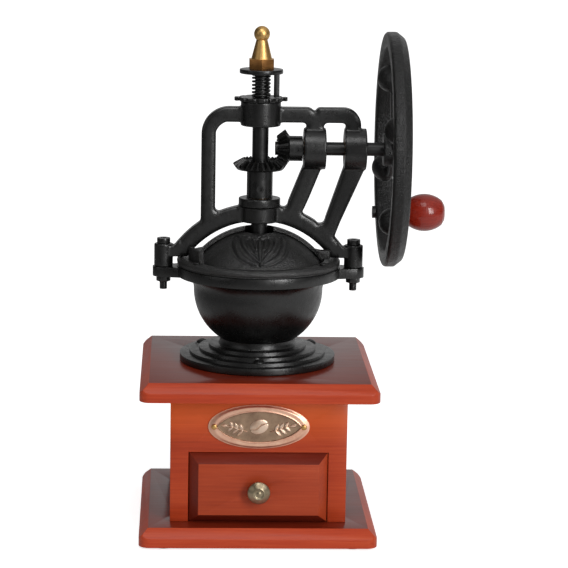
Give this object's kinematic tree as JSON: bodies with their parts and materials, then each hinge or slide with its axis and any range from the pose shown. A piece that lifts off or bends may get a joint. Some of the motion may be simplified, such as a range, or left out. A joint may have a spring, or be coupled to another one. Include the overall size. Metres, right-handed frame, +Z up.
{
  "type": "hand crank coffee grinder",
  "caption": "Table coffee grinder: iron hopper with domed sliding lid and yoke, bevel geared hand wheel, on a wooden box with a drawer.",
  "frame": {"origin": "centre of the underside of the wooden box, on the plane that the foot pads rest on", "axes": "+X towards the hand wheel, along the crank axis; -Y towards the drawer front; +Z up, along the main shaft"},
  "size_m": [0.1731, 0.13, 0.279],
  "materials": {
    "stained_wood": "satin lacquer",
    "drawer_wood": "satin lacquer",
    "raw_wood": "bare",
    "knob_wood": "gloss lacquer",
    "black_iron": "satin black",
    "burr_steel": "machined",
    "bright_steel": "turned",
    "dark_steel": "blackened",
    "brass": "polished",
    "bronze_bush": "turned",
    "pewter_knob": "antique",
    "plate_metal": "antique",
    "pad_rubber": "matte"
  },
  "bodies": {
    "base": {"foot_pads": "pad_rubber", "bottom_board": "stained_wood", "board_screws": "bright_steel", "left_wall": "stained_wood", "right_wall": "stained_wood", "back_wall": "stained_wood", "front_panel": "stained_wood", "drawer_runners": "raw_wood", "top_board": "stained_wood", "nameplate": "plate_metal", "nameplate_nails": "brass", "bowl": "black_iron", "bowl_screws": "dark_steel", "outer_burr": "burr_steel", "fixed_cover": "black_iron", "cover_screws": "dark_steel", "yoke": "black_iron", "clamp_bolts": "dark_steel", "clamp_nuts": "dark_steel", "upper_bush": "bronze_bush", "lower_bush": "bronze_bush", "inner_crank_bush": "bronze_bush", "outer_crank_bush": "bronze_bush"},
    "drawer": {"drawer_front": "drawer_wood", "drawer_left_side": "raw_wood", "drawer_right_side": "raw_wood", "drawer_back": "raw_wood", "drawer_bottom": "raw_wood", "drawer_knob": "pewter_knob", "drawer_knob_screw": "bright_steel"},
    "lid": {"sliding_cover": "black_iron"},
    "gear": {"drive_gear": "black_iron", "gear_grub_screw": "dark_steel", "notched_collar": "dark_steel", "adjusting_spring": "dark_steel", "lock_washer": "dark_steel"},
    "adjuster": {"finial_nut": "brass"},
    "shaft": {"main_shaft": "dark_steel", "inner_burr": "burr_steel", "burr_washer": "bright_steel", "burr_nut": "bright_steel"},
    "wheel": {"crank_shaft": "dark_steel", "pinion": "black_iron", "pinion_grub_screw": "dark_steel", "hand_wheel": "black_iron", "wheel_washer": "dark_steel", "wheel_nut": "dark_steel", "handle_pin": "dark_steel", "handle_washer": "dark_steel"},
    "knob": {"handle_knob": "knob_wood"}
  },
  "joints": [
    {"name": "wheel_turn", "type": "hinge", "parent": "base", "child": "wheel", "pos_m": [0, 0, 0.2116], "axis": [1, 0, 0], "continuous": true},
    {"name": "gear_turn", "type": "hinge", "parent": "base", "child": "gear", "pos_m": [0, 0, 0.2116], "axis": [0, 0, 1], "continuous": true},
    {"name": "nut_turn", "type": "hinge", "parent": "gear", "child": "adjuster", "pos_m": [0, 0, 0.26], "axis": [0, 0, 1], "range_deg": [-500, 160]},
    {"name": "shaft_slide", "type": "slide", "parent": "gear", "child": "shaft", "axis": [0, 0, 1], "range_m": [-0.00056, 0.00173]},
    {"name": "knob_turn", "type": "hinge", "parent": "wheel", "child": "knob", "pos_m": [0.09, 0.0437, 0.1694], "axis": [1, 0, 0], "continuous": true},
    {"name": "lid_turn", "type": "hinge", "parent": "base", "child": "lid", "pos_m": [0, 0, 0.146], "axis": [0, 0, 1], "range_deg": [-130, 0]},
    {"name": "drawer_slide", "type": "slide", "parent": "base", "child": "drawer", "axis": [0, -1, 0], "range_m": [0, 0.07]}
  ],
  "couplings": [
    {"joint": "gear_turn", "follows": "wheel_turn", "ratio": 0.66667},
    {"joint": "nut_turn", "follows": "shaft_slide", "rad_per_m": -5026.5}
  ]
}
